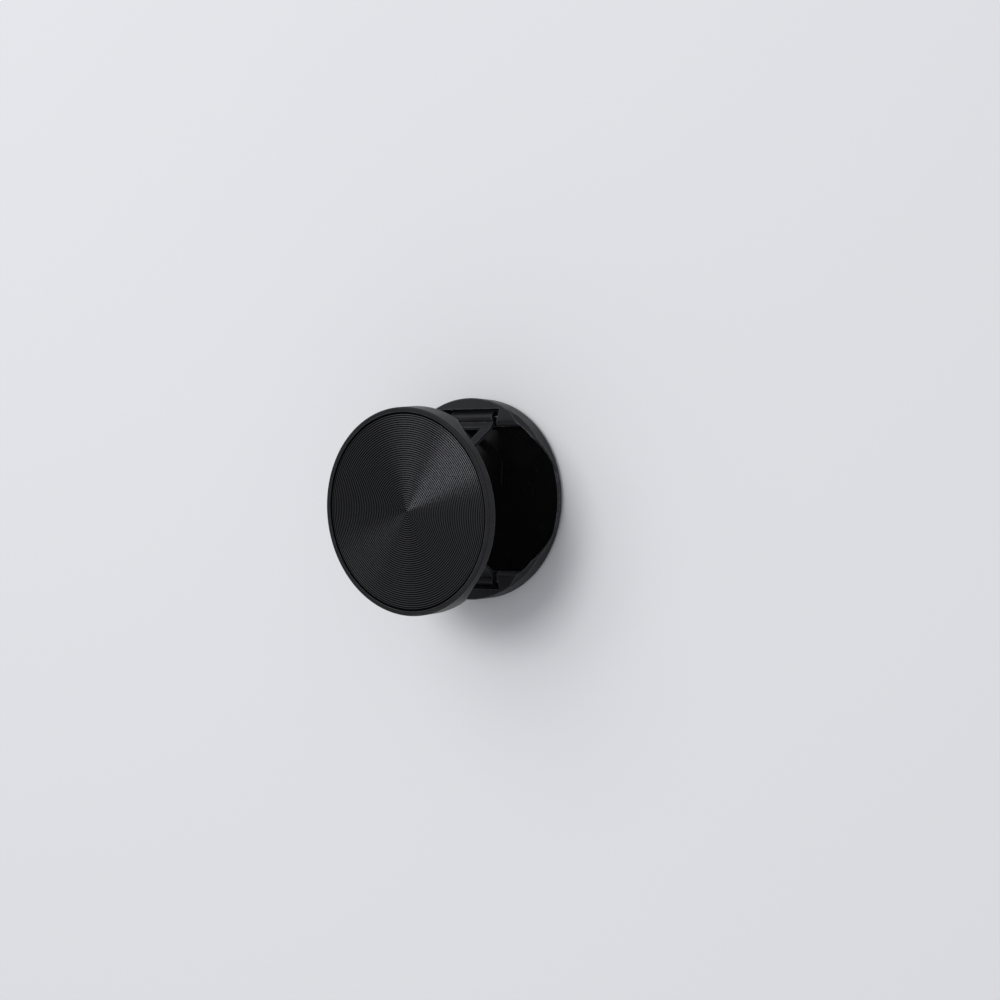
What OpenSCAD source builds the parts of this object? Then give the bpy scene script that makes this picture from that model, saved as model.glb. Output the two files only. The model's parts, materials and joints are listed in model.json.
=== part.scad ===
// Folding grip and stand for the back of a flat handheld device.
// A thin base sticks on, and a round face stands off it on two folding arms.
// The origin is the centre of the adhesive face. +Z leads away from the device,
// +Y is up as the grip is usually worn, and the open pose is the rest pose.

/* [Adhesive pad] */
// Radius of the pad
pad_r = 19.3; // [17:0.1:19.6]
// Thickness of the pad
pad_t = 0.6; // [0.3:0.1:1.5]

/* [Base] */
// Radius of the side wall at the back
base_back_r = 20.05; // [19.8:0.05:21]
// Radius of the side wall at the top of the hinge lands
base_front_r = 20.2; // [19.8:0.05:21]
// Height of the hinge lands above the back of the base
base_land_h = 3.9; // [3.8:0.1:4.4]
// Height of the floor above the back of the base
base_floor_h = 0.9; // [0.85:0.05:1.1]
// Height of the rim at the finger sides
base_rim_h = 0.6; // [0.5:0.05:0.85]
// Half length of the low part of the rim at a finger side
base_rim_flat = 4; // [3:0.5:5]
// Radius of the curve in which the rim rises to the lands
base_rim_round = 13; // [11:0.5:14]

/* [Floor panel] */
// Thickness of the panel
panel_t = 0.3; // [0.2:0.05:0.35]
// Margin left outside the panel at the finger sides
panel_margin = 0.4; // [0.35:0.05:2]
// Ledge left between the panel and the rim and lands
panel_ledge = 0.12; // [0.1:0.01:0.3]
// Play round the panel in its recess
panel_gap = 0.05; // [0.03:0.01:0.15]

/* [Hinges] */
// Distance of each hinge axis inside the smaller of the two side walls
hinge_inset = 3.9; // [3.7:0.05:4.2]
// Height of the base hinge axes above the back of the base
base_axis_h = 2.15; // [2.1:0.05:2.4]
// Depth of the face hinge axes behind the front of the face
face_axis_d = 3.1; // [3:0.05:3.2]
// Radius of the arm barrels
barrel_r = 1.15; // [1.1:0.05:1.35]
// Half length of the arm barrels
barrel_half_l = 5.2; // [5:0.1:5.8]
// Radius of the hinge pins
pin_r = 0.45; // [0.3:0.05:0.5]
// Length of pin held in each ear
pin_grip = 1.5; // [0.8:0.1:1.6]
// Running clearance round a pin
run_gap = 0.05; // [0.02:0.01:0.1]
// Clearance of a pressed pin in its seat
seat_gap = 0.01; // [0.005:0.005:0.02]
// Extra clearance at the one floating pivot
float_gap = 0.35; // [0.3:0.01:0.5]
// Gap at each end of a barrel
barrel_end_gap = 1.9; // [1.2:0.05:2]
// Gap between a barrel and the wall of its slot
slot_gap = 0.5; // [0.3:0.05:0.6]
// Slant of each end of a slot, wider towards the side wall
slot_slant = 17.5; // [0:0.5:20]

/* [Rim and hinge lands] */
// Width of the rim at the finger sides
rim_side_w = 0.3; // [0.25:0.05:0.6]
// Shift of the two arcs that bound the well inside the rim
well_shift = 1.8; // [1.6:0.05:1.85]
// Reach of a land from its hinge axis towards the middle
land_reach = 1.8; // [1.7:0.05:2.1]
// Radius of the round on the front edge of a land
land_round = 1.2; // [1:0.05:1.5]
// Corner break at the outer edge of a land
land_break = 0.12; // [0.05:0.01:0.2]
// Distance beyond the hinge axis at which a cheek leaves the side wall
cheek_reach = 1.4; // [1.2:0.05:1.6]
// Lean of the cheek that cuts the corner of a land, from level
cheek_lean = 42; // [35:1:50]
// Turn of the cheek from the finger side towards the land
cheek_turn = 41; // [38:1:44]

/* [Keepers] */
// Thickness of a base keeper
base_keeper_t = 0.5; // [0.4:0.05:0.55]
// Thickness of a face keeper
face_keeper_t = 0.55; // [0.4:0.05:0.6]
// Play round a keeper in its recess
keeper_gap = 0.04; // [0.02:0.01:0.1]
// Width of a keeper's saddle under the end of a pin
saddle_w = 0.8; // [0.6:0.05:0.85]
// Width that a keeper reaches past the pin on each side
keeper_side = 0.3; // [0.1:0.05:0.5]

/* [Arms] */
// Length of an arm between its two axes
arm_l = 14; // [13.9:0.1:14.4]
// Thickness of an arm's plate
plate_t = 0.7; // [0.4:0.05:1.1]
// Distance of the plate from the line between the axes
plate_off = 0.1; // [0.05:0.01:0.15]
// Half width of the plate beside its barrel
wide_half_w = 5.2; // [5:0.1:5.8]
// Half width of the neck
neck_half_w = 2.9; // [2.7:0.1:3.4]
// Distance along the arm at which the plate starts to narrow
taper_start = 2.8; // [2.5:0.1:3.5]
// Distance along the arm at which the neck starts
taper_end = 7.6; // [7.5:0.1:9]
// Half width of the window beside the barrel
window_half_w = 3; // [2:0.05:3.2]
// Distance along the arm at which the window starts
window_start = 2.5; // [1.9:0.1:2.7]
// Distance along the arm at which the window ends
window_end = 9.6; // [5:0.1:10]
// Radius of the knuckles at the knee
knuckle_r = 1.3; // [1.1:0.05:1.3]
// Half width of the middle knuckle
tongue_half_w = 1.3; // [1:0.1:1.5]
// Gap between knuckles, and round them
knuckle_gap = 0.15; // [0.1:0.01:0.2]

/* [Face] */
// Radius of the face
face_r = 20.45; // [20.2:0.05:21.4]
// Radius of the round on the front edge
face_round = 0.3; // [0.1:0.05:0.45]
// Width of the bezel
bezel_w = 0.95; // [0.7:0.05:1.2]
// Depth of the recess for the insert
recess_d = 0.95; // [0.85:0.05:1]
// Thickness of the face at the finger sides
face_floor_d = 1.85; // [1.8:0.05:1.9]
// Thickness of the face at the hinge lands
face_land_d = 4.4; // [4.3:0.05:4.6]
// Distance from the hinge axis at which the face's rim starts to rise
face_rim_reach = 3; // [2.7:0.1:3.3]
// Radius of the curve in which the face's rim rises to the lands
face_rim_round = 5; // [4.5:0.1:5.5]
// Thickness of the tape under the insert
tape_t = 0.1; // [0.05:0.01:0.2]
// Width of insert left bare round the tape
tape_margin = 0.8; // [0.3:0.1:3]
// Thickness of the insert
insert_t = 0.72; // [0.5:0.01:0.75]
// Play round the insert
insert_gap = 0.06; // [0.02:0.01:0.15]
// Distance between the turned grooves
groove_pitch = 0.4; // [0.3:0.05:1]
// Depth of the turned grooves
groove_d = 0.05; // [0.02:0.01:0.1]

/* [Open pose] */
// Height of the middle of the face above the device
open_h = 24.5; // [22:0.5:26]
// Drop of the face below the base
face_drop = 2.5; // [0:0.1:3]
// Tilt of the face, top edge outwards
face_tilt = 4; // [0:0.5:6]

/* [Hidden] */
$fn = 96;

far = 2 * face_r;

// Hinge axes, slots and pins, the same in the base and in the face
hinge_y = min(base_front_r, face_r) - hinge_inset;
land_front_y = hinge_y - land_reach;
cheek_y = hinge_y + cheek_reach;
slot_half_l = barrel_half_l + barrel_end_gap;
slot_out_y = hinge_y + barrel_r + slot_gap;
slot_in_y = hinge_y - barrel_r - slot_gap;
pin_half_l = slot_half_l + pin_grip;
keeper_half_w = pin_r + keeper_side;

// Heights above the adhesive face
base_z = pad_t;
floor_z = base_z + base_floor_h;
base_axis_z = base_z + base_axis_h;

// Half length of a slot at distance y from the middle
function slot_x(y) = slot_half_l + (y - hinge_y) * tan(slot_slant);

// Radius of the arcs of a well inside a side wall of radius wall_r
function well_r(wall_r) = wall_r - rim_side_w - well_shift;

// Pivots as [y, z]. The lower pair of arms is worked out in a mirrored frame.
function turned(v, a) = [v[0] * cos(a) - v[1] * sin(a), v[0] * sin(a) + v[1] * cos(a)];
function face_pivot(side) =
    [-face_drop, open_h] + turned([side * hinge_y, -face_axis_d], face_tilt);
function knee(a, d) =
    let (span = d - a, u = span / norm(span), out = sqrt(arm_l * arm_l - span * span / 4))
    (a + d) / 2 + out * [-u[1], u[0]];
function heading(from, to) = atan2(to[1] - from[1], to[0] - from[0]);

base_pivot = [hinge_y, base_axis_z];
top_face_pivot = face_pivot(1);
bottom_face_pivot = [-face_pivot(-1)[0], face_pivot(-1)[1]];
top_knee = knee(base_pivot, top_face_pivot);
bottom_knee = knee(base_pivot, bottom_face_pivot);

module place(pivot, angle) {
    translate([0, pivot[0], pivot[1]])
        rotate([angle, 0, 0])
            children();
}

module in_face_frame() {
    place([-face_drop, open_h], face_tilt)
        children();
}

module both_sides() {
    children();
    mirror([1, 0, 0])
        children();
}

module both_ends() {
    children();
    mirror([0, 1, 0])
        children();
}

// A rod along X, centred on an axis at height z
module rod(r, half_l, y = 0, z = 0) {
    translate([-half_l, y, z])
        rotate([0, 90, 0])
            cylinder(r = r, h = 2 * half_l);
}

module block(x0, x1, y0, y1, z0, z1) {
    translate([x0, y0, z0])
        cube([x1 - x0, y1 - y0, z1 - z0]);
}

// A flat outline seen along X, as [y, z], drawn out through the part
module along_x() {
    rotate([90, 0, 90])
        linear_extrude(2 * far, center = true)
            children();
}

// The well inside the rim, seen from the front
module well_outline(wall_r, grow) {
    for (side = [-1, 1])
        translate([side * well_shift, 0])
            circle(r = well_r(wall_r) + grow);
}

// The space over the floor and over the round front edges of the lands
module between_lands(floor_h, land_h) {
    round_y = land_front_y + land_round;
    difference() {
        translate([-round_y, floor_h])
            square([2 * round_y, land_h]);
        for (side = [0, 1])
            mirror([side, 0]) {
                translate([round_y, land_h - land_round])
                    circle(r = land_round);
                translate([land_front_y, 0])
                    square([land_round, land_h - land_round]);
            }
    }
}

// The space over the rim, which is low at the finger sides
module over_rim(rim_h, flat_l, round_r) {
    translate([-flat_l, rim_h])
        square([2 * flat_l, far]);
    for (side = [-1, 1])
        translate([side * flat_l, rim_h + round_r])
            circle(r = round_r);
}

// Cuts a round blank down to a floor, a rim and two hinge lands, and cuts
// the corner of each land back by a leaning cheek
module carve(front_r, floor_h, land_h, rim_h, rim_flat, rim_round) {
    corner_x = sqrt(front_r * front_r - cheek_y * cheek_y);
    difference() {
        children();
        intersection() {
            along_x()
                between_lands(floor_h, land_h);
            linear_extrude(far)
                well_outline(front_r, 0);
        }
        difference() {
            along_x()
                over_rim(rim_h, rim_flat, rim_round);
            linear_extrude(2 * far, center = true)
                well_outline(front_r, -panel_gap);
        }
        both_ends()
            both_sides()
                translate([corner_x, cheek_y, land_h])
                    rotate([0, 0, cheek_turn])
                        rotate([0, cheek_lean, 0])
                            translate([-far, -far, 0])
                                cube([2 * far, 2 * far, far]);
    }
}

// What is cut out of a housing for one hinge: the slot for the barrel, open
// to the front, the channel for the pin's ends, and the keeper's recess
module hinge_cut(axis_h, keeper_t, floor_h, land_h) {
    translate([0, 0, -1])
        linear_extrude(land_h + 2)
            slot_outline(slot_in_y, slot_out_y);
    translate([0, 0, floor_h])
        linear_extrude(land_h)
            slot_outline(land_front_y - 1, hinge_y);
    rod(pin_r + seat_gap, pin_half_l + seat_gap, hinge_y, axis_h);
    pin_slot = pin_r + seat_gap;
    block(-pin_half_l - seat_gap, pin_half_l + seat_gap,
        hinge_y - pin_slot, hinge_y + pin_slot, -1, axis_h);
    linear_extrude(2 * keeper_t, center = true)
        keeper_outline(keeper_gap);
}

module slot_outline(y0, y1, inset = 0) {
    x0 = slot_x(y0) - inset;
    x1 = slot_x(y1) - inset;
    polygon([[-x0, y0], [x0, y0], [x1, y1], [-x1, y1]]);
}

module keeper_outline(grow) {
    inset = keeper_gap - grow;
    slot_outline(slot_in_y + inset, slot_out_y - inset, inset);
    translate([-pin_half_l - grow, hinge_y - keeper_half_w - grow])
        square([2 * (pin_half_l + grow), 2 * (keeper_half_w + grow)]);
}

// Closes a slot from the back and holds both ends of its pin down
module keeper(axis_h, keeper_t) {
    linear_extrude(keeper_t)
        keeper_outline(0);
    saddle_top = axis_h - pin_r - seat_gap;
    both_sides()
        block(slot_half_l + keeper_gap, pin_half_l - keeper_gap,
            hinge_y - saddle_w / 2, hinge_y + saddle_w / 2, 0, saddle_top);
}

module panel_outline(grow) {
    intersection() {
        well_outline(base_front_r, grow - panel_ledge);
        circle(r = base_back_r - panel_margin + grow);
        square([2 * far, 2 * (land_front_y - panel_ledge + grow)], center = true);
    }
}

module adhesive_pad() {
    color("#3a3b3e")
        cylinder(r = pad_r, h = pad_t);
}

module base_shell() {
    color("#2b2c2f")
        translate([0, 0, base_z])
            difference() {
                carve(base_front_r, base_floor_h, base_land_h,
                        base_rim_h, base_rim_flat, base_rim_round)
                    rotate_extrude()
                        polygon([
                            [0, 0], [base_back_r, 0], [base_front_r, base_land_h - land_break],
                            [base_front_r - land_break, base_land_h], [0, base_land_h],
                        ]);
                both_ends()
                    hinge_cut(base_axis_h, base_keeper_t, base_floor_h, base_land_h);
                translate([0, 0, base_floor_h - panel_t - panel_gap])
                    linear_extrude(far)
                        panel_outline(panel_gap);
            }
}

module base_floor_panel() {
    color("#08090a")
        translate([0, 0, floor_z - panel_t - panel_gap])
            linear_extrude(panel_t)
                panel_outline(0);
}

module base_keeper() {
    color("#2b2c2f")
        translate([0, 0, base_z])
            keeper(base_axis_h, base_keeper_t);
}

module base_top_keeper() {
    base_keeper();
}

module base_bottom_keeper() {
    mirror([0, 1, 0])
        base_keeper();
}

module hinge_pin(half_l) {
    color("#b9bcc0")
        rod(pin_r, half_l);
}

module base_top_pin() {
    place(base_pivot, 0)
        hinge_pin(pin_half_l);
}

module base_bottom_pin() {
    mirror([0, 1, 0])
        base_top_pin();
}

// One folding arm: the barrel lies on the origin, the knee at +Y, and the
// plate on the +Z side. A forked arm ends in two knuckles and a plain one
// in a single tongue between them.
module arm(forked, bore_gap) {
    knee_clear = knuckle_r + knuckle_gap;
    plate_end = arm_l - knee_clear;
    fork_in = tongue_half_w + knuckle_gap;
    knuckle_x0 = forked ? fork_in : -tongue_half_w;
    knuckle_x1 = forked ? neck_half_w : tongue_half_w;
    color("#303134")
        difference() {
            union() {
                rod(barrel_r, barrel_half_l);
                translate([0, 0, plate_off])
                    linear_extrude(plate_t)
                        difference() {
                            polygon([
                                [-wide_half_w, 0], [-wide_half_w, taper_start],
                                [-neck_half_w, taper_end], [-neck_half_w, plate_end],
                                [neck_half_w, plate_end], [neck_half_w, taper_end],
                                [wide_half_w, taper_start], [wide_half_w, 0],
                            ]);
                            polygon([
                                [-window_half_w, window_start], [0, window_end],
                                [window_half_w, window_start],
                            ]);
                        }
                both_sides() {
                    block(knuckle_x0, knuckle_x1, plate_end - knuckle_gap, arm_l,
                        plate_off, plate_off + plate_t);
                    translate([knuckle_x0, arm_l, 0])
                        rotate([0, 90, 0])
                            cylinder(r = knuckle_r, h = knuckle_x1 - knuckle_x0);
                }
            }
            rod(pin_r + bore_gap, far);
            rod(pin_r + (forked ? seat_gap : run_gap), far, arm_l);
        }
}

module lower_arm(knee_point) {
    place(base_pivot, heading(base_pivot, knee_point))
        arm(false, run_gap);
}

module upper_arm(face_point, knee_point, bore_gap) {
    place(face_point, heading(face_point, knee_point))
        mirror([0, 0, 1])
            arm(true, bore_gap);
}

module knee_pin(knee_point) {
    place(knee_point, 0)
        hinge_pin(neck_half_w);
}

module top_lower_arm() {
    lower_arm(top_knee);
}

module top_upper_arm() {
    upper_arm(top_face_pivot, top_knee, run_gap);
}

module top_knee_pin() {
    knee_pin(top_knee);
}

module bottom_lower_arm() {
    mirror([0, 1, 0])
        lower_arm(bottom_knee);
}

module bottom_upper_arm() {
    mirror([0, 1, 0])
        upper_arm(bottom_face_pivot, bottom_knee, float_gap);
}

module bottom_knee_pin() {
    mirror([0, 1, 0])
        knee_pin(bottom_knee);
}

// Pieces of the face are drawn with their back towards +Z from the recess,
// then turned over, so that the base's hinge modules fit them too
module from_front(depth) {
    in_face_frame()
        translate([0, 0, -depth])
            mirror([0, 0, 1])
                children();
}

module face_shell() {
    floor_h = face_floor_d - recess_d;
    land_h = face_land_d - recess_d;
    edge_r = face_r - face_round;
    edge_h = face_round - recess_d;
    color("#2b2c2f")
        from_front(recess_d)
            difference() {
                carve(face_r, floor_h, land_h,
                        floor_h, hinge_y - face_rim_reach, face_rim_round)
                    rotate_extrude()
                        union() {
                            polygon([
                                [0, -recess_d], [edge_r, -recess_d], [edge_r, edge_h],
                                [face_r, edge_h], [face_r, land_h - land_break],
                                [face_r - land_break, land_h], [0, land_h],
                            ]);
                            translate([edge_r, edge_h])
                                circle(r = face_round);
                        }
                translate([0, 0, -far])
                    cylinder(r = face_r - bezel_w, h = far);
                both_ends()
                    hinge_cut(face_axis_d - recess_d, face_keeper_t, floor_h, land_h);
            }
}

module face_keeper() {
    color("#2b2c2f")
        keeper(face_axis_d - recess_d, face_keeper_t);
}

module face_top_keeper() {
    from_front(recess_d)
        face_keeper();
}

module face_bottom_keeper() {
    from_front(recess_d)
        mirror([0, 1, 0])
            face_keeper();
}

module face_top_pin() {
    place(top_face_pivot, 0)
        hinge_pin(pin_half_l);
}

module face_bottom_pin() {
    mirror([0, 1, 0])
        place(bottom_face_pivot, 0)
            hinge_pin(pin_half_l);
}

module insert_tape() {
    color("#d8d4c4")
        from_front(recess_d)
            translate([0, 0, -tape_t])
                cylinder(r = face_r - bezel_w - insert_gap - tape_margin, h = tape_t);
}

// A turned metal disc with concentric V grooves
module face_insert() {
    insert_r = face_r - bezel_w - insert_gap;
    grooves = floor(insert_r / groove_pitch) - 1;
    color("#17181a")
        from_front(recess_d - tape_t)
            rotate_extrude()
                polygon(concat(
                    [[0, 0], [insert_r, 0], [insert_r, -insert_t]],
                    [for (i = [grooves : -1 : 1]) each [
                        [(i + 0.5) * groove_pitch, -insert_t],
                        [i * groove_pitch, groove_d - insert_t],
                    ]],
                    [[0.5 * groove_pitch, -insert_t], [0, -insert_t]]
                ));
}

adhesive_pad();
base_shell();
base_floor_panel();
base_top_keeper();
base_bottom_keeper();
base_top_pin();
base_bottom_pin();
top_lower_arm();
top_upper_arm();
top_knee_pin();
bottom_lower_arm();
bottom_upper_arm();
bottom_knee_pin();
face_shell();
face_top_keeper();
face_bottom_keeper();
face_top_pin();
face_bottom_pin();
insert_tape();
face_insert();
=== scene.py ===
import json
import math

import bpy
from mathutils import Matrix, Vector


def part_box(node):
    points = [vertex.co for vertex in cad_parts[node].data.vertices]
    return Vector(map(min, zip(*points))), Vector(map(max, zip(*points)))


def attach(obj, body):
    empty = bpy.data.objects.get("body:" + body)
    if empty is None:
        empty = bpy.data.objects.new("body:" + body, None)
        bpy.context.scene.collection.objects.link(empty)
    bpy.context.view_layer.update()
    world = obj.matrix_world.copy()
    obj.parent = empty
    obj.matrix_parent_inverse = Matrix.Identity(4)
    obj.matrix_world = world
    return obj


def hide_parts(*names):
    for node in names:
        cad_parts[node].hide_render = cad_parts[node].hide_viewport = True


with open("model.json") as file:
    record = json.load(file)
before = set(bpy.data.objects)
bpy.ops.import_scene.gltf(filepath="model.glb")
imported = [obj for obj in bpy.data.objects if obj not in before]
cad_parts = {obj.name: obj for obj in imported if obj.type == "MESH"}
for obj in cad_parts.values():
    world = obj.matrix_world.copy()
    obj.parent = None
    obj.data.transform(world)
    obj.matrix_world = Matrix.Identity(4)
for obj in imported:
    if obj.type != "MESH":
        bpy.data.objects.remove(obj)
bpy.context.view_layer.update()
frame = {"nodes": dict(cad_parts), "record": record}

MM = 0.001

# The camera, in millimetres in the part's frame
CAMERA_AT = (349.80, 0.593, 452.36)
CAMERA_RIGHT = (0.794721839, -0.000778952, -0.606973304)
CAMERA_UP = (-0.00039142, 0.999998311, -0.00179583)
CAMERA_BACK = (0.60697368, 0.00166477, 0.79472019)
LENS_MM = 102.132
SENSOR_MM = 36.0
# How far the view is raised, in picture widths
RAISE_VIEW = 0.0006

# Where the middle of the face's front lies, and how far it tilts
FACE_MIDDLE = Vector((0, -2.5, 24.5)) * MM
FACE_TILT = math.radians(4)

# The insert's turning: the width of a ring, its depth, and how many fit on the face
RING_PITCH = 0.43 * MM
RING_DEPTH = 0.05 * MM
INSERT_R = (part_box("face_insert")[1].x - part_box("face_insert")[0].x) / 2
RINGS = int(INSERT_R / RING_PITCH)

# The insert's edge: a margin that is sunk by a step, and a small chamfer on the front
EDGE_MARGIN = 0.3 * MM
EDGE_STEP = 0.45 * MM
EDGE_BREAK = 0.1 * MM

# The insert's mesh: faces round it, rows in a groove, on the wall and on the back, how near
# points are joined, and the bend above which an edge is sharp
SEGMENTS = 256
GROOVE_STEPS = 4
WALL_ROWS = 5
BACK_ROWS = 9
WELD = 0.004 * MM
SHARP_ABOVE = math.radians(28)

# The insert's UV chart: u goes once round, and v is 1 at the last ring
TURNING = "turning"

# How far the shading rounds the corners of plastic and of the panel, and how far the rubbed wear
# and the painted edge highlight on plastic reach
SOFT_CORNER = 0.12 * MM
CRISP_CORNER = 0.06 * MM
RUB_AND_HIGHLIGHT_CORNER = 0.3 * MM

# How much paler the painted edge highlight makes a corner of plastic than the rest
EDGE_HIGHLIGHT_LIFT = 4.5

# Depths of the bumps in each finish
EROSION = 0.012 * MM
RIPPLE = 0.01 * MM
TOOL_MARKS = 0.0008 * MM
PORES = 0.03 * MM
WEAVE = 0.01 * MM
DRAW_MARKS = 0.004 * MM

# Colours of the finishes, in linear light
PLASTIC_DUST = (0.24, 0.24, 0.23, 1)
PANEL_BLACK = (0.0035, 0.0036, 0.004, 1)
PANEL_MARK = (0.045, 0.045, 0.045, 1)
# The insert's groove colour is painted shade, and its ridge colour is a painted highlight
GROOVE_SHADE_BLACK = (0.003, 0.0031, 0.0036, 1)
RIDGE_HIGHLIGHT_GREY = (0.058, 0.0585, 0.0645, 1)
METAL_DUST = (0.2, 0.2, 0.2, 1)
FOAM_DARK, FOAM_PALE = (0.012, 0.012, 0.013, 1), (0.05, 0.05, 0.054, 1)
TAPE_DARK, TAPE_PALE = (0.42, 0.4, 0.33, 1), (0.6, 0.58, 0.5, 1)
STEEL_DARK, STEEL_PALE = (0.045, 0.045, 0.047, 1), (0.11, 0.11, 0.113, 1)
FLOOR_DARK, FLOOR_PALE = (0.85, 0.855, 0.875, 1), (0.88, 0.885, 0.905, 1)

# Where the painted highlight on a ridge is full and where it has faded, in shares of a ring
# outwards
HIGHLIGHT_FULL, HIGHLIGHT_GONE = 0.22, 0.52

# Where the insert's wall lies on the chart: across the dim part of the last ring, so that the wall
# takes mostly the groove's painted shade
WALL_SHADE_CHART = (RINGS - 0.55, RINGS - 0.4)

# Light from all round, and the pale backdrop that is seen behind the floor
WORLD_COLOUR = (0.95, 0.96, 1.0, 1)
WORLD_LIGHT = 0.48
BACKDROP = (0.63, 0.635, 0.65, 1)

# The floor, from its middle to its edge, and where it starts and ends to melt into the backdrop
FLOOR_REACH = 6.0
MELT_FROM, MELT_TO = 0.35, 1.3

# The soft boxes: place and size in metres, and watts. Each is aimed at the part's middle
AIM = (0, 0, 0.012)
LIGHTS = {
    "key_light": ((-0.18, 0.27, 1.05), (0.42, 0.44), 3.6),
    "side_light": ((-0.68, 0.32, 0.85), (0.3, 0.3), 0.5),
    "fill_light": ((-0.45, 0.95, 0.9), (0.9, 0.9), 3.0),
}


class Graph:
    """A node tree, with short ways to add nodes and to wire them."""

    def __init__(self, tree):
        self.nodes, self.links = tree.nodes, tree.links

    def node(self, kind, inputs=None, **properties):
        """Adds a node. A kind without Node in it is short for a shader node's."""
        made = self.nodes.new(kind if "Node" in kind else "ShaderNode" + kind)
        for key, value in properties.items():
            setattr(made, key, value)
        for key, value in (inputs or {}).items():
            self.feed(made.inputs[key], value)
        return made

    def feed(self, socket, value):
        """Links a socket, or sets a constant."""
        if isinstance(value, bpy.types.NodeSocket):
            self.links.new(value, socket)
        else:
            socket.default_value = value

    def maths(self, operation, a, b=0.0, c=0.0):
        return self.node("Math", {0: a, 1: b, 2: c}, operation=operation).outputs[0]

    def seen_ray(self):
        """1 for a ray from the camera, or one that gloss or glass sends on from it, else 0."""
        path = self.node("LightPath").outputs
        seen = self.maths("MAXIMUM", path["Is Camera Ray"], path["Is Glossy Ray"])
        return self.maths("MAXIMUM", seen, path["Is Transmission Ray"])


class Finish(Graph):
    """A material whose nodes read Object coordinates, with its shader ready to wire.

    Scales are in cells per metre.
    """

    def __init__(self, name, **settings):
        self.material = bpy.data.materials.new(name)
        self.material.use_nodes = True
        super().__init__(self.material.node_tree)
        self.shader = self.nodes["Principled BSDF"]
        self.place = self.node("TexCoord").outputs["Object"]
        for socket, value in settings.items():
            self.set(socket.replace("_", " "), value)

    def set(self, socket, value):
        self.feed(self.shader.inputs[socket], value)

    def turned(self, angle=0.0, stretch=(1, 1, 1)):
        """Object coordinates, turned about Z and stretched, so that a pattern can run one way."""
        turn = self.node("Mapping", {"Vector": self.place, "Rotation": (0, 0, angle)}).outputs[0]
        return self.node("VectorMath", {0: turn, 1: stretch}, operation="MULTIPLY").outputs[0]

    def noise(self, scale, detail=2.0, rough=0.5, place=None):
        return self.node("TexNoise", {
            "Vector": place or self.place, "Scale": scale,
            "Detail": detail, "Roughness": rough,
        }).outputs["Fac"]

    def between(self, value, low, high, to_low=0.0, to_high=1.0):
        """Value from low to high, spread over to_low to to_high and held there."""
        return self.node("MapRange", {
            "Value": value, "From Min": low, "From Max": high,
            "To Min": to_low, "To Max": to_high,
        }).outputs[0]

    def mix(self, amount, a, b):
        """Colour a where the amount is 0, and b where it is 1."""
        return self.node("Mix", {0: amount, 6: a, 7: b}, data_type="RGBA").outputs[2]

    def rounded(self, radius):
        """Normals that round every corner over this radius."""
        return self.node("Bevel", {"Radius": radius}, samples=6).outputs[0]

    def corners(self, radius):
        """A mask that is 1 along the corners, blunt ones too, and 0 on the flats."""
        flat = self.node("NewGeometry").outputs["Normal"]
        dot = self.node("VectorMath", {0: self.rounded(radius), 1: flat}, operation="DOT_PRODUCT")
        return self.between(dot.outputs["Value"], 0.995, 0.95)

    def bump(self, height, depth, normal=None):
        made = self.node("Bump", {"Height": height, "Distance": depth, "Strength": 1.0})
        if normal is not None:
            self.feed(made.inputs["Normal"], normal)
        return made.outputs[0]

    def hairlines(self, angle, along, across, cut):
        """Thin straight scratches that run one way, 1 in the scratch."""
        place = self.turned(angle, (along, across, along))
        lines = self.noise(1.0, detail=1.0, rough=0.4, place=place)
        return self.between(lines, cut, cut + 0.03)

    def specks(self, scale, size, share):
        """Round specks of dust in this share of the cells, 1 on a speck."""
        cells = self.node("TexVoronoi", {"Vector": self.place, "Scale": scale})
        near = self.between(cells.outputs["Distance"], size, size * 0.6)
        pick = self.node("SeparateColor", {"Color": cells.outputs["Color"]}).outputs[0]
        return self.maths("MULTIPLY", near, self.maths("GREATER_THAN", pick, 1 - share))


def moulded_plastic(name, dark, pale, rough, grain):
    """Satin moulded plastic: fine eroded grain, handling marks, and corners rubbed smoother and
    painted paler as an edge highlight.
    """
    made = Finish(name, Specular_IOR_Level=0.15)
    clouds = made.between(made.noise(260, detail=4, rough=0.6), 0.35, 0.7)
    colour = made.mix(clouds, dark, pale)
    patches = made.between(made.noise(900, detail=3), 0.35, 0.65, 0.25, 1.0)
    # Along the corners: the paler colour is a painted edge highlight, and the lower roughness is
    # rubbed wear
    rubbed_and_highlit = made.maths("MULTIPLY", made.corners(RUB_AND_HIGHLIGHT_CORNER), patches)
    edge_highlight_colour = [level * EDGE_HIGHLIGHT_LIFT for level in pale[:3]] + [1]
    colour = made.mix(rubbed_and_highlit, colour, edge_highlight_colour)
    dust = made.maths("MULTIPLY", made.specks(scale=420, size=0.085, share=0.06), 0.6)
    made.set("Base Color", made.mix(dust, colour, PLASTIC_DUST))
    marks = made.noise(140, detail=3, rough=0.55)
    handled = made.between(marks, 0.35, 0.7, rough - 0.06, rough + 0.07)
    made.set("Roughness", made.maths("SUBTRACT", handled, made.maths("MULTIPLY", rubbed_and_highlit, 0.12)))
    eroded = made.noise(grain, detail=3, rough=0.65)
    made.set("Normal", made.bump(eroded, EROSION, made.rounded(SOFT_CORNER)))
    return made.material


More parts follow.
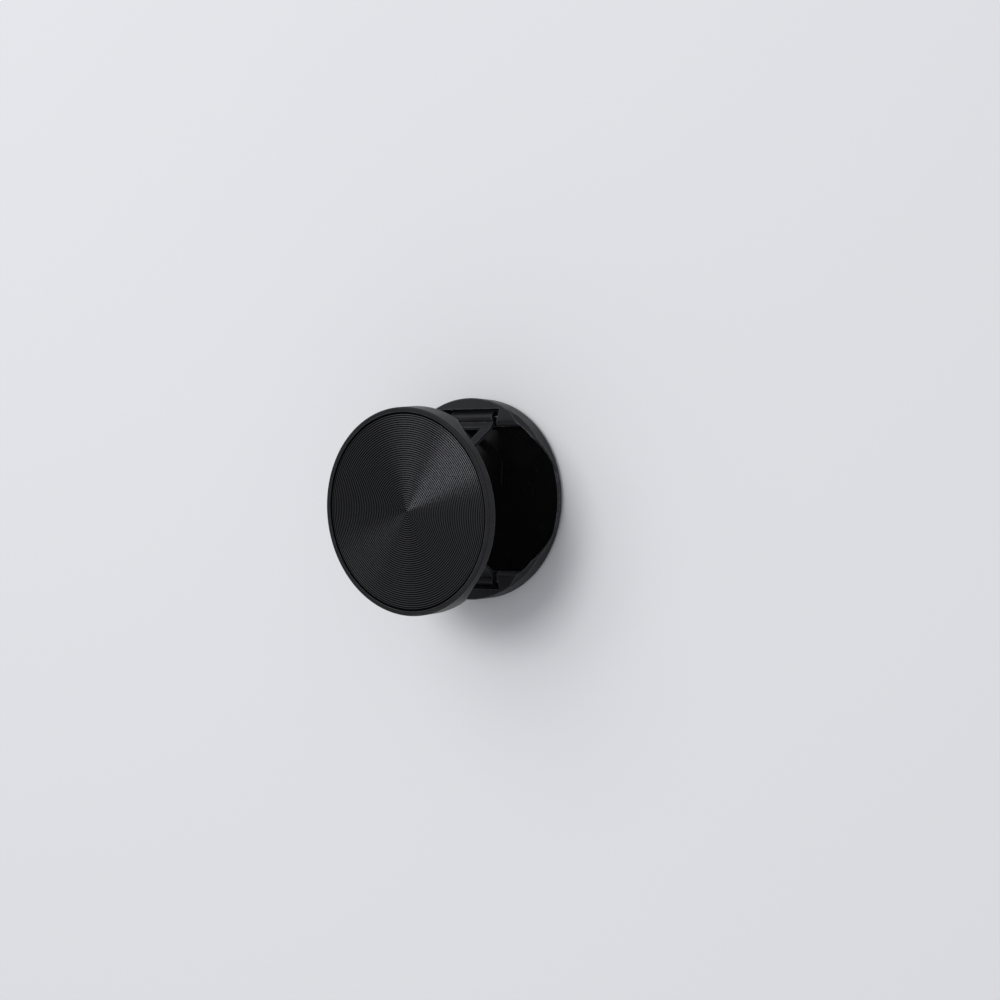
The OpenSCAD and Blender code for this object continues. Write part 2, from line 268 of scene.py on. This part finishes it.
def polished_panel():
    """Polished black panel with hairline scratches and a little dust."""
    made = Finish("polished_black_panel", Specular_IOR_Level=0.25)
    scratches = made.maths(
        "MAXIMUM",
        made.hairlines(angle=1.62, along=110, across=5600, cut=0.75),
        made.hairlines(angle=0.9, along=260, across=6400, cut=0.775))
    dust = made.specks(scale=520, size=0.1, share=0.06)
    marks = made.maths("MAXIMUM", made.maths("MULTIPLY", scratches, 0.5), dust)
    made.set("Base Color", made.mix(marks, PANEL_BLACK, PANEL_MARK))
    smear = made.between(made.noise(95, detail=4, rough=0.6), 0.4, 0.7, 0.1, 0.2)
    made.set("Roughness", made.maths("ADD", smear, made.maths("MULTIPLY", marks, 0.35)))
    scratched = made.maths("MULTIPLY", scratches, -0.15)
    ripple = made.maths("ADD", made.noise(60, detail=1), scratched)
    made.set("Normal", made.bump(ripple, RIPPLE, made.rounded(CRISP_CORNER)))
    return made.material


def turned_metal():
    """Black anodised metal, turned. It shines across its rings, in a fan from the middle."""
    made = Finish(
        "turned_black_anodised", Metallic=1.0, Anisotropic=0.94, Anisotropic_Rotation=0.25)
    tangent = made.node("Tangent", direction_type="UV_MAP", uv_map=TURNING)
    made.set("Tangent", tangent.outputs[0])
    chart = made.node("SeparateXYZ", {0: made.node("UVMap", uv_map=TURNING).outputs[0]})
    around, outwards = chart.outputs[0], chart.outputs[1]
    # A painted highlight on the outer side of each ridge, and painted shade in the rest of the
    # groove
    past_ridge = made.maths("FRACT", made.maths("MULTIPLY", outwards, RINGS))
    ridge_highlight = made.between(past_ridge, HIGHLIGHT_GONE, HIGHLIGHT_FULL)
    fine = made.noise(1.0, detail=2, rough=0.6, place=made.node("CombineXYZ", {
        0: made.maths("MULTIPLY", around, 14.0),
        1: made.maths("MULTIPLY", outwards, 420.0),
    }).outputs[0])
    colour = made.mix(ridge_highlight, GROOVE_SHADE_BLACK, RIDGE_HIGHLIGHT_GREY)
    uneven = made.between(fine, 0.3, 0.7, 0.85, 1.15)
    colour = made.node("VectorMath", {0: colour, "Scale": uneven}, operation="SCALE").outputs[0]
    dust = made.maths("MULTIPLY", made.specks(scale=300, size=0.06, share=0.02), 0.4)
    made.set("Base Color", made.mix(dust, colour, METAL_DUST))
    made.set("Roughness", made.between(fine, 0.3, 0.7, 0.29, 0.34))
    made.set("Normal", made.bump(fine, TOOL_MARKS))
    return made.material


def foam():
    """Dark acrylic foam: open cells and a slightly ragged face."""
    made = Finish("adhesive_foam", Roughness=0.95, Specular_IOR_Level=0.2)
    cells = made.node("TexVoronoi", {"Vector": made.place, "Scale": 4200.0}).outputs["Distance"]
    pores = made.between(cells, 0.0, 0.55)
    made.set("Base Color", made.mix(pores, FOAM_DARK, FOAM_PALE))
    made.set("Normal", made.bump(pores, PORES))
    return made.material


def tape():
    """Pale double-sided tape with a faint woven carrier."""
    made = Finish("double_sided_tape", Roughness=0.75)
    across, along = (
        made.node("TexWave", {"Vector": made.place, "Scale": 900.0}, bands_direction=axis)
        for axis in "XY")
    weave = made.maths("MULTIPLY", across.outputs["Fac"], along.outputs["Fac"])
    made.set("Base Color", made.mix(weave, TAPE_DARK, TAPE_PALE))
    made.set("Normal", made.bump(weave, WEAVE))
    return made.material


def ground_steel():
    """Ground steel wire, blackened: fine rings round the pin's axis under an oiled skin."""
    made = Finish("ground_steel", Metallic=1.0)
    rings = made.noise(1.0, detail=3, rough=0.6, place=made.turned(stretch=(9000, 300, 300)))
    made.set("Base Color", made.mix(rings, STEEL_DARK, STEEL_PALE))
    made.set("Roughness", made.between(rings, 0.3, 0.7, 0.24, 0.4))
    made.set("Normal", made.bump(rings, DRAW_MARKS))
    return made.material


# The face's shell is darker than the base's, though the record gives both one slot
FACE_SATIN = moulded_plastic(
    "satin_face", (0.0085, 0.0087, 0.0098, 1), (0.0125, 0.0128, 0.0143, 1), rough=0.4, grain=5200)
FINISHES = {
    "satin_shell": moulded_plastic(
        "satin_base", (0.0175, 0.0178, 0.0198, 1), (0.0235, 0.0239, 0.0265, 1),
        rough=0.42, grain=5200),
    "arm_plastic": moulded_plastic(
        "arm_plastic", (0.017, 0.0173, 0.0192, 1), (0.0235, 0.0239, 0.0264, 1),
        rough=0.38, grain=6400),
    "gloss_panel": polished_panel(),
    "turned_insert": turned_metal(),
    "adhesive_foam": foam(),
    "tape": tape(),
    "steel_pin": ground_steel(),
}


def dress_nodes():
    """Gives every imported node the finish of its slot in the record."""
    for row in frame["record"]["subparts"]:
        finish = FACE_SATIN if row["node"] == "face_shell" else FINISHES[row["material_slot"]]
        mesh = frame["nodes"][row["node"]].data
        mesh.materials.clear()
        mesh.materials.append(finish)


def lathe(rule, rows, radius_of, height_of, first_ring, last_ring, flip=False):
    """A grid of rows by SEGMENTS, rolled into rings about Z and charted from ring to ring.

    radius_of and height_of take a row's number, counted outwards, and give where it goes.
    """
    grid = rule.node("GeometryNodeMeshGrid", {
        "Size X": 1.0, "Size Y": 1.0, "Vertices X": rows, "Vertices Y": SEGMENTS + 1})
    spot = rule.node("SeparateXYZ", {0: rule.node("GeometryNodeInputPosition").outputs[0]})
    share = rule.maths("ADD", spot.outputs[0], 0.5)
    row = rule.maths("ROUND", rule.maths("MULTIPLY", share, rows - 1.0))
    angle = rule.maths("MULTIPLY", rule.maths("ADD", spot.outputs[1], 0.5), 2 * math.pi)
    radius = radius_of(row)
    put = rule.node("CombineXYZ", {
        0: rule.maths("MULTIPLY", radius, rule.maths("COSINE", angle)),
        1: rule.maths("MULTIPLY", radius, rule.maths("SINE", angle)),
        2: height_of(row)})
    plain = rule.node("SeparateXYZ", {0: grid.outputs["UV Map"]})
    ring = rule.maths(
        "MULTIPLY_ADD", plain.outputs[0], (last_ring - first_ring) / RINGS, first_ring / RINGS)
    charted = rule.node("GeometryNodeStoreNamedAttribute", {
        "Geometry": grid.outputs["Mesh"], "Name": TURNING,
        "Value": rule.node("CombineXYZ", {0: plain.outputs[1], 1: ring}).outputs[0],
    }, data_type="FLOAT2", domain="CORNER")
    rolled = rule.node("GeometryNodeSetPosition", {
        "Geometry": charted.outputs[0], "Position": put.outputs[0]})
    if not flip:
        return rolled.outputs[0]
    return rule.node("GeometryNodeFlipFaces", {0: rolled.outputs[0]}).outputs[0]


def turned_disc(**sizes):
    """The face's insert, made by rule: a closed disc, front at z = 0, with one groove in each
    pitch and a sunk step round its edge. Gives the node tree and the values of its inputs."""
    tree = bpy.data.node_groups.new("turned_disc", "GeometryNodeTree")
    tree.interface.new_socket("Geometry", in_out="OUTPUT", socket_type="NodeSocketGeometry")
    settings = {}
    for name, value in sizes.items():
        socket = tree.interface.new_socket(name, in_out="INPUT", socket_type="NodeSocketFloat")
        settings[socket.identifier] = value
    rule = Graph(tree)
    given = rule.node("NodeGroupInput").outputs
    whole_r = given["Radius"]
    front_r = rule.maths("SUBTRACT", whole_r, given["Margin"])
    flat_r = rule.maths("SUBTRACT", front_r, given["Chamfer"])

    # The front: each groove falls slowly outwards from its ridge, then climbs to the next one
    def front_radius(row):
        step = rule.maths("DIVIDE", given["Pitch"], GROOVE_STEPS)
        return rule.maths("MINIMUM", rule.maths("MULTIPLY", row, step), flat_r)

    def front_height(row):
        fall = rule.maths("DIVIDE", rule.maths("MODULO", row, GROOVE_STEPS), GROOVE_STEPS - 1.0)
        return rule.maths("MULTIPLY", fall, rule.maths("MULTIPLY", given["Depth"], -1.0))

    front = lathe(rule, GROOVE_STEPS * RINGS + 1, front_radius, front_height, 0, RINGS)

    # The wall's rows: the front's edge, two on the upper wall and two on the lower one
    def wall_radius(row):
        upper = rule.maths("MULTIPLY", given["Margin"], rule.maths("LESS_THAN", row, 2.5))
        edge = rule.maths("MULTIPLY", given["Chamfer"], rule.maths("LESS_THAN", row, 0.5))
        return rule.maths("SUBTRACT", rule.maths("SUBTRACT", whole_r, upper), edge)

    def wall_height(row):
        """Down the chamfer and the upper wall, across the step and down the lower wall."""
        def past(start):
            """0 up to this row, and 1 from the next one on."""
            rows_past = rule.maths("MAXIMUM", rule.maths("SUBTRACT", row, start), 0.0)
            return rule.maths("MINIMUM", rows_past, 1.0)

        upper = rule.maths("SUBTRACT", given["Step"], given["Chamfer"])
        lower = rule.maths("SUBTRACT", given["Thickness"], given["Step"])
        drop = rule.maths("MULTIPLY", past(0.0), given["Chamfer"])
        drop = rule.maths("MULTIPLY_ADD", past(1.0), upper, drop)
        drop = rule.maths("MULTIPLY_ADD", past(3.0), lower, drop)
        return rule.maths("MULTIPLY", drop, -1.0)

    # The wall is charted into the groove's painted shade
    wall = lathe(rule, WALL_ROWS, wall_radius, wall_height, *WALL_SHADE_CHART)

    def back_radius(row):
        return rule.maths("MULTIPLY", whole_r, rule.maths("DIVIDE", row, BACK_ROWS - 1.0))

    def back_height(row):
        return rule.maths("MULTIPLY", given["Thickness"], -1.0)

    back = lathe(rule, BACK_ROWS, back_radius, back_height, 0, RINGS, flip=True)

    join = rule.node("GeometryNodeJoinGeometry")
    for surface in (front, wall, back):
        rule.feed(join.inputs[0], surface)
    merged = rule.node("GeometryNodeMergeByDistance", {
        "Geometry": join.outputs[0], "Distance": WELD}).outputs[0]
    bend = rule.node("GeometryNodeInputMeshEdgeAngle").outputs["Unsigned Angle"]
    crisp = rule.node("GeometryNodeSetShadeSmooth", {
        "Geometry": merged, "Shade Smooth": False,
        "Selection": rule.maths("GREATER_THAN", bend, SHARP_ABOVE),
    }, domain="EDGE").outputs[0]
    real = rule.node("GeometryNodeRealizeInstances", {0: crisp}).outputs[0]
    dressed = rule.node("GeometryNodeSetMaterial", {
        "Geometry": real, "Material": FINISHES["turned_insert"]}).outputs[0]
    rule.node("NodeGroupOutput", {0: dressed})
    return tree, settings


def made_by_rule(name, tree, settings, place):
    """Runs a node tree and keeps its result as a plain mesh, moved to its place."""
    carrier = bpy.data.objects.new(name + "_rule", bpy.data.meshes.new(name + "_rule"))
    bpy.context.scene.collection.objects.link(carrier)
    modifier = carrier.modifiers.new("rule", "NODES")
    modifier.node_group = tree
    for key, value in settings.items():
        modifier[key] = value
    graph = bpy.context.evaluated_depsgraph_get()
    mesh = bpy.data.meshes.new_from_object(carrier.evaluated_get(graph), depsgraph=graph)
    bpy.data.objects.remove(carrier)
    mesh.name = name
    mesh.transform(place)
    piece = bpy.data.objects.new(name, mesh)
    bpy.context.scene.collection.objects.link(piece)
    return piece


def face_insert():
    """The turned disc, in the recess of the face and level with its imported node."""
    tilt = Matrix.Rotation(FACE_TILT, 4, "X")
    packed = frame["nodes"]["face_insert"].data.vertices
    heights = [(tilt.inverted() @ (vertex.co - FACE_MIDDLE)).z for vertex in packed]
    top, bottom = max(heights), min(heights)
    tree, settings = turned_disc(
        Radius=INSERT_R, Thickness=top - bottom, Pitch=RING_PITCH, Depth=RING_DEPTH,
        Chamfer=EDGE_BREAK, Margin=EDGE_MARGIN, Step=EDGE_STEP)
    place = Matrix.Translation(FACE_MIDDLE) @ tilt @ Matrix.Translation((0, 0, top))
    piece = made_by_rule("turned_face_insert", tree, settings, place)
    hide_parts("face_insert")
    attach(piece, "face")


def pale_stage():
    """A pale floor under the part. Far off, what is seen of it melts into the backdrop."""
    far = FLOOR_REACH
    mesh = bpy.data.meshes.new("floor")
    corners = [(-far, -far, 0), (far, -far, 0), (far, far, 0), (-far, far, 0)]
    mesh.from_pydata(corners, [], [(0, 1, 2, 3)])
    floor = bpy.data.objects.new("floor", mesh)
    bpy.context.scene.collection.objects.link(floor)
    made = Finish("pale_floor", Roughness=0.6, Specular_IOR_Level=0.1)
    made.set("Base Color", made.mix(made.noise(3.0), FLOOR_DARK, FLOOR_PALE))
    away = made.node("VectorMath", {0: made.place}, operation="LENGTH").outputs["Value"]
    melt = made.maths("MULTIPLY", made.between(away, MELT_FROM, MELT_TO), made.seen_ray())
    glow = made.node("Emission", {"Color": BACKDROP})
    blend = made.node("MixShader", {0: melt, 1: made.shader.outputs[0], 2: glow.outputs[0]})
    made.feed(made.nodes["Material Output"].inputs["Surface"], blend.outputs[0])
    mesh.materials.append(made.material)


def surround():
    """Soft light from all round, with a pale backdrop for what the camera, gloss and glass see."""
    world = bpy.data.worlds.new("soft_light")
    bpy.context.scene.world = world
    world.use_nodes = True
    made = Graph(world.node_tree)
    light = made.nodes["Background"]
    made.feed(light.inputs["Color"], WORLD_COLOUR)
    made.feed(light.inputs["Strength"], WORLD_LIGHT)
    seen = made.node("Background", {"Color": BACKDROP})
    mix = made.node("MixShader", {0: made.seen_ray(), 1: light.outputs[0], 2: seen.outputs[0]})
    made.feed(made.nodes["World Output"].inputs["Surface"], mix.outputs[0])


def lights():
    for name, (at, size, watts) in LIGHTS.items():
        data = bpy.data.lights.new(name, "AREA")
        data.shape = "RECTANGLE"
        data.size, data.size_y = size
        data.energy = watts
        lamp = bpy.data.objects.new(name, data)
        lamp.location = at
        lamp.rotation_mode = "QUATERNION"
        lamp.rotation_quaternion = (Vector(at) - Vector(AIM)).to_track_quat("Z", "Y")
        bpy.context.scene.collection.objects.link(lamp)


def camera():
    data = bpy.data.cameras.new("camera")
    data.sensor_width = SENSOR_MM
    data.lens = LENS_MM
    data.clip_start, data.clip_end = 0.01, 20
    data.shift_y = RAISE_VIEW
    view = bpy.data.objects.new("camera", data)
    columns = [Vector(axis) for axis in (CAMERA_RIGHT, CAMERA_UP, CAMERA_BACK)]
    turn = Matrix(columns).transposed().to_4x4()
    view.matrix_world = Matrix.Translation(Vector(CAMERA_AT) * MM) @ turn
    bpy.context.scene.collection.objects.link(view)
    bpy.context.scene.camera = view


camera()
pale_stage()
surround()
lights()
dress_nodes()
face_insert()
bpy.context.scene.view_settings.view_transform = "Standard"
